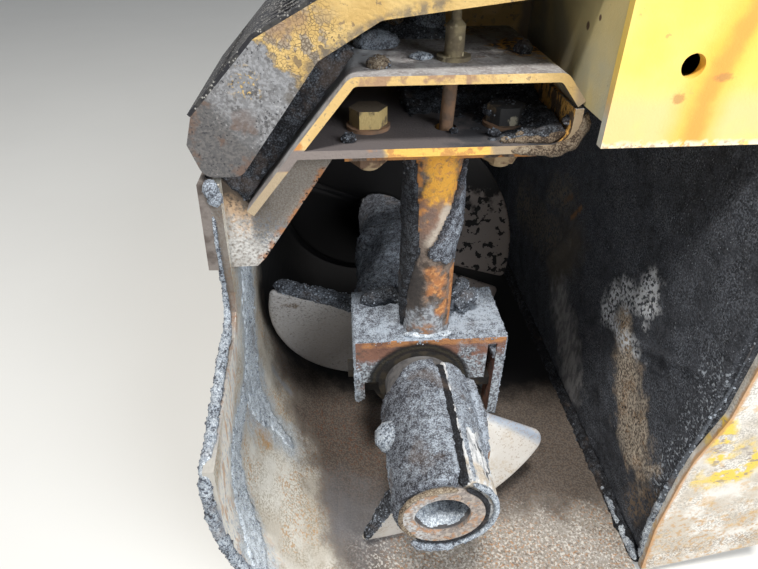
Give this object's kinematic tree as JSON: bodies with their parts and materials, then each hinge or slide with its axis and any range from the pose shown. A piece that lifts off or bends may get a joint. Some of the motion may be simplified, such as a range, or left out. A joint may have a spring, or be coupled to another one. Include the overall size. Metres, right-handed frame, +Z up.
{
  "type": "asphalt paver spreading auger end section",
  "caption": "Outboard section of a paver's spreading auger: screw shaft with cast flights, hanger, beam, curved trough, rear wall, mesh guard and frame box.",
  "frame": {"origin": "centre of the mounting bolt circle on the inner face of the mounting flange, on the screw axis", "axes": "+Y along the screw axis towards the drive, +Z up, +X away from the trough wall"},
  "size_m": [0.603, 1.0465, 0.655],
  "materials": {
    "yellow_paint": "worn machine paint with rust and dust",
    "rusty_paint": "flaking paint over rust",
    "rusty_steel": "rusty plate",
    "caked_steel": "steel caked with dry asphalt",
    "cast_bearing": "rough casting",
    "cast_flight": "worn casting, polished by the mix",
    "worn_trough": "worn and rusty steel plate"
  },
  "bodies": {
    "frame": {"rear_wall": "worn_trough", "rear_end_plate": "yellow_paint", "rear_ribs_inner": "yellow_paint", "mount_flange": "yellow_paint", "flange_bearing": "cast_bearing", "bearing_bolts": "rusty_steel", "trough_plate": "worn_trough", "trough_lip": "rusty_steel", "gusset_front": "rusty_steel", "gusset_rear": "rusty_steel", "beam_top_plate": "yellow_paint", "beam_bottom_plate": "yellow_paint", "beam_back_plate": "yellow_paint", "hanger_bolts": "rusty_steel", "hanger_washers": "rusty_steel", "post_flange": "rusty_steel", "hanger_post": "rusty_paint", "grease_pipe": "rusty_steel", "grease_nipple": "caked_steel", "hanger_saddle": "rusty_steel", "bush_upper": "cast_bearing", "bush_lower": "cast_bearing", "bearing_cap": "rusty_steel", "cap_bolts": "rusty_steel", "guard_arm": "yellow_paint", "guard_mesh": "caked_steel", "frame_end_plate": "yellow_paint", "frame_side_wall": "yellow_paint", "frame_outer_wall": "yellow_paint", "frame_top_plate": "yellow_paint", "frame_bottom_plate": "yellow_paint"},
    "auger": {"shaft_tube": "caked_steel", "outer_segment": "cast_flight", "inner_segments_lower": "cast_flight", "inner_segments_upper": "cast_flight", "segment_bolts": "caked_steel"}
  },
  "joints": [
    {"name": "auger_spin", "type": "hinge", "parent": "frame", "child": "auger", "pos_m": [0, 0, 0], "axis": [0, 1, 0], "continuous": true}
  ]
}
